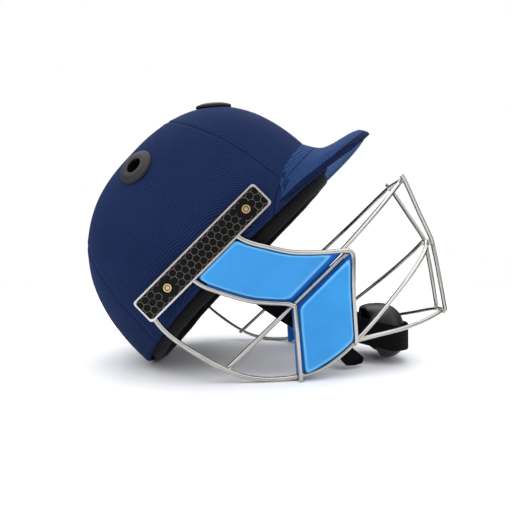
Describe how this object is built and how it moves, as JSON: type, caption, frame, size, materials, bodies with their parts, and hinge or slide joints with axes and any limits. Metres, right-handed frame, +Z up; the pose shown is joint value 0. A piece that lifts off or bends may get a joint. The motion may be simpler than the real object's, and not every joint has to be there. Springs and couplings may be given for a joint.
{
  "type": "cricket helmet",
  "caption": "Cricket helmet: fabric-covered dome with a stiff peak, a welded wire face guard with padded cheeks, and a swinging chin strap with a cup.",
  "frame": {"origin": "centre of the bounding box on the ground", "axes": "+X the way the helmet faces, as it stands tipped back on its nape and lower wires, +Y to the wearer's left, +Z up"},
  "size_m": [0.3527, 0.2164, 0.2517],
  "materials": {
    "navy_fabric": "woven navy cover fabric with a soft sheen",
    "shell_moulding": "moulded plastic shell under the cover",
    "foam": "matt black closed-cell foam",
    "lining_cloth": "matt black brushed lining cloth over foam",
    "vent_plastic": "dark grey satin moulding",
    "plate_metal": "bright anodised edge",
    "plate_face": "black face with a raised honeycomb",
    "ferrule_brass": "polished brass",
    "screw_steel": "plain steel",
    "guard_steel": "polished welded steel wire",
    "azure_foam": "satin azure moulded foam pad",
    "webbing": "black woven webbing",
    "strap_plastic": "black satin moulding"
  },
  "bodies": {
    "helmet": {"outer_shell": "shell_moulding", "cover_front": "navy_fabric", "cover_crown": "navy_fabric", "cover_rear": "navy_fabric", "peak_board": "shell_moulding", "peak_cover_top": "navy_fabric", "peak_cover_under": "navy_fabric", "foam_liner": "foam", "brow_pad": "lining_cloth", "nape_pad": "lining_cloth", "crown_pad": "lining_cloth", "temple_pad_right": "lining_cloth", "temple_pad_left": "lining_cloth", "ear_pad_right": "lining_cloth", "ear_pad_left": "lining_cloth", "vent_front_right": "vent_plastic", "vent_front_left": "vent_plastic", "vent_side_right": "vent_plastic", "vent_side_left": "vent_plastic", "side_plate_right": "plate_metal", "side_plate_left": "plate_metal", "plate_insert_right": "plate_face", "plate_insert_left": "plate_face", "plate_ferrules_right": "ferrule_brass", "plate_ferrules_left": "ferrule_brass", "plate_screws_right": "screw_steel", "plate_screws_left": "screw_steel", "plate_nuts_right": "screw_steel", "plate_nuts_left": "screw_steel", "main_bar": "guard_steel", "chin_bar": "guard_steel", "top_bar": "guard_steel", "side_rail_right": "guard_steel", "side_rail_left": "guard_steel", "front_strut_right": "guard_steel", "front_strut_left": "guard_steel", "rear_strut_right": "guard_steel", "rear_strut_left": "guard_steel", "centre_strut_right": "guard_steel", "centre_strut_left": "guard_steel", "cheek_guard_pad_right": "azure_foam", "cheek_guard_pad_left": "azure_foam", "jaw_guard_pad_right": "azure_foam", "jaw_guard_pad_left": "azure_foam", "strap_anchor_right": "screw_steel", "strap_anchor_left": "screw_steel"},
    "chin_strap": {"strap_right": "webbing", "strap_left": "webbing", "cup_band": "webbing"},
    "slider": {"strap_slider": "strap_plastic", "strap_tail": "webbing"},
    "cup": {"chin_cup": "strap_plastic"}
  },
  "joints": [
    {"name": "chin_strap_swing", "type": "hinge", "parent": "helmet", "child": "chin_strap", "pos_m": [-0.04382, 0, 0.10419], "axis": [0, -1, 0], "range_deg": [0, 15]},
    {"name": "slider_slide", "type": "slide", "parent": "chin_strap", "child": "slider", "axis": [0.9234, 0.3368, -0.184], "range_m": [-0.012, 0.004]},
    {"name": "cup_tilt", "type": "hinge", "parent": "chin_strap", "child": "cup", "pos_m": [0.11018, 0, 0.02819], "axis": [0, -1, 0], "range_deg": [-8, 8]}
  ]
}
